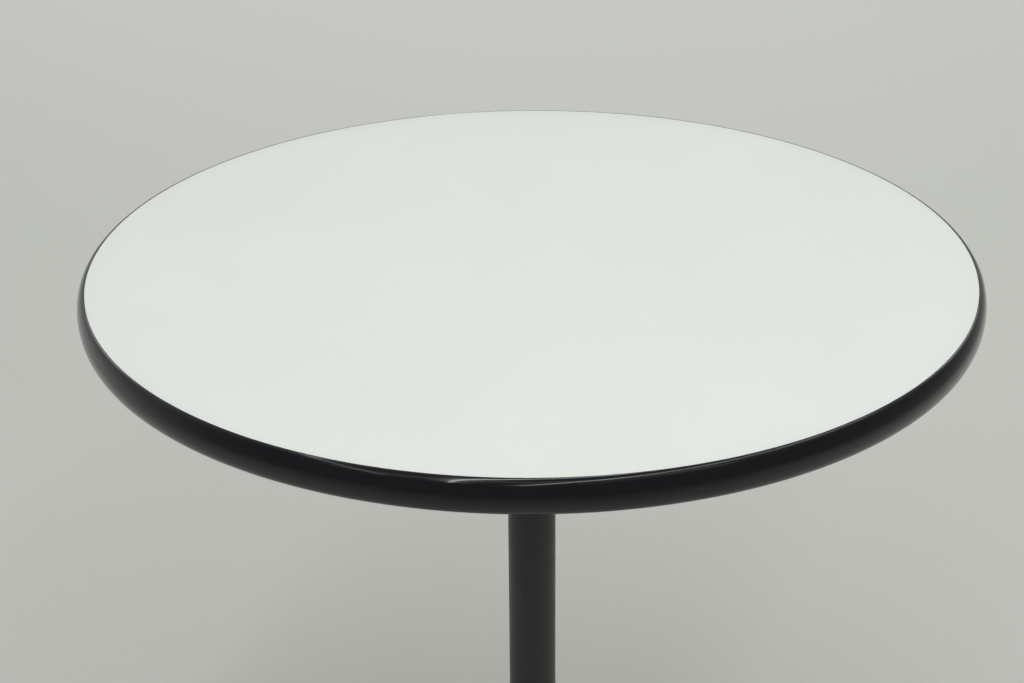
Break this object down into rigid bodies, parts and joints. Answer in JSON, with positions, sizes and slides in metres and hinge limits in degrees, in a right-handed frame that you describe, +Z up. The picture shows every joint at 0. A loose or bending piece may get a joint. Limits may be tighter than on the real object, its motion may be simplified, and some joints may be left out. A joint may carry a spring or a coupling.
{
  "type": "bistro table",
  "caption": "Round pedestal cafe table with a laminated top, a soft edge band, a slim tubular column, a cast spreading base and screw-in levelling feet.",
  "frame": {"origin": "on the floor under the middle of the column, with the levelling feet screwed fully in", "axes": "+Z is up along the column; +X and +Y are level and lie halfway between neighbouring legs"},
  "size_m": [0.762, 0.762, 0.724],
  "materials": {
    "laminate": "satin",
    "core_board": "matte",
    "backer_sheet": "matte",
    "edge_vinyl": "gloss",
    "column_paint": "satin",
    "casting_paint": "satin",
    "zinc_steel": "satin",
    "insert_brass": "satin",
    "glide_nylon": "matte"
  },
  "bodies": {
    "table": {"top_laminate": "laminate", "top_core": "core_board", "top_backer": "backer_sheet", "edge_band": "edge_vinyl", "top_spider": "casting_paint", "column": "column_paint", "tie_rod": "zinc_steel", "tie_rod_washer": "zinc_steel", "tie_rod_nut": "zinc_steel", "base_hub": "casting_paint", "insert_front_right_inner": "insert_brass", "top_screw_front_right_inner": "zinc_steel", "insert_front_right_outer": "insert_brass", "top_screw_front_right_outer": "zinc_steel", "insert_back_right_inner": "insert_brass", "top_screw_back_right_inner": "zinc_steel", "insert_back_right_outer": "insert_brass", "top_screw_back_right_outer": "zinc_steel", "insert_back_left_inner": "insert_brass", "top_screw_back_left_inner": "zinc_steel", "insert_back_left_outer": "insert_brass", "top_screw_back_left_outer": "zinc_steel", "insert_front_left_inner": "insert_brass", "top_screw_front_left_inner": "zinc_steel", "insert_front_left_outer": "insert_brass", "top_screw_front_left_outer": "zinc_steel", "leg_front_right": "casting_paint", "leg_bolt_front_right_a": "zinc_steel", "leg_bolt_front_right_b": "zinc_steel", "leg_back_right": "casting_paint", "leg_bolt_back_right_a": "zinc_steel", "leg_bolt_back_right_b": "zinc_steel", "leg_back_left": "casting_paint", "leg_bolt_back_left_a": "zinc_steel", "leg_bolt_back_left_b": "zinc_steel", "leg_front_left": "casting_paint", "leg_bolt_front_left_a": "zinc_steel", "leg_bolt_front_left_b": "zinc_steel"},
    "foot_front_right": {"glide_pad_front_right": "glide_nylon"},
    "foot_screw_front_right": {"glide_stem_front_right": "zinc_steel"},
    "foot_back_right": {"glide_pad_back_right": "glide_nylon"},
    "foot_screw_back_right": {"glide_stem_back_right": "zinc_steel"},
    "foot_back_left": {"glide_pad_back_left": "glide_nylon"},
    "foot_screw_back_left": {"glide_stem_back_left": "zinc_steel"},
    "foot_front_left": {"glide_pad_front_left": "glide_nylon"},
    "foot_screw_front_left": {"glide_stem_front_left": "zinc_steel"}
  },
  "joints": [
    {"name": "foot_height_front_right", "type": "slide", "parent": "table", "child": "foot_front_right", "axis": [0, 0, -1], "range_m": [0, 0.009]},
    {"name": "foot_turn_front_right", "type": "hinge", "parent": "foot_front_right", "child": "foot_screw_front_right", "pos_m": [0.18738, -0.18738, 0.02], "axis": [0, 0, -1], "range_deg": [0, 2160]},
    {"name": "foot_height_back_right", "type": "slide", "parent": "table", "child": "foot_back_right", "axis": [0, 0, -1], "range_m": [0, 0.009]},
    {"name": "foot_turn_back_right", "type": "hinge", "parent": "foot_back_right", "child": "foot_screw_back_right", "pos_m": [0.18738, 0.18738, 0.02], "axis": [0, 0, -1], "range_deg": [0, 2160]},
    {"name": "foot_height_back_left", "type": "slide", "parent": "table", "child": "foot_back_left", "axis": [0, 0, -1], "range_m": [0, 0.009]},
    {"name": "foot_turn_back_left", "type": "hinge", "parent": "foot_back_left", "child": "foot_screw_back_left", "pos_m": [-0.18738, 0.18738, 0.02], "axis": [0, 0, -1], "range_deg": [0, 2160]},
    {"name": "foot_height_front_left", "type": "slide", "parent": "table", "child": "foot_front_left", "axis": [0, 0, -1], "range_m": [0, 0.009]},
    {"name": "foot_turn_front_left", "type": "hinge", "parent": "foot_front_left", "child": "foot_screw_front_left", "pos_m": [-0.18738, -0.18738, 0.02], "axis": [0, 0, -1], "range_deg": [0, 2160]}
  ],
  "couplings": [
    {"joint": "foot_turn_front_right", "follows": "foot_height_front_right", "rad_per_m": 4188.8},
    {"joint": "foot_turn_back_right", "follows": "foot_height_back_right", "rad_per_m": 4188.8},
    {"joint": "foot_turn_back_left", "follows": "foot_height_back_left", "rad_per_m": 4188.8},
    {"joint": "foot_turn_front_left", "follows": "foot_height_front_left", "rad_per_m": 4188.8}
  ]
}
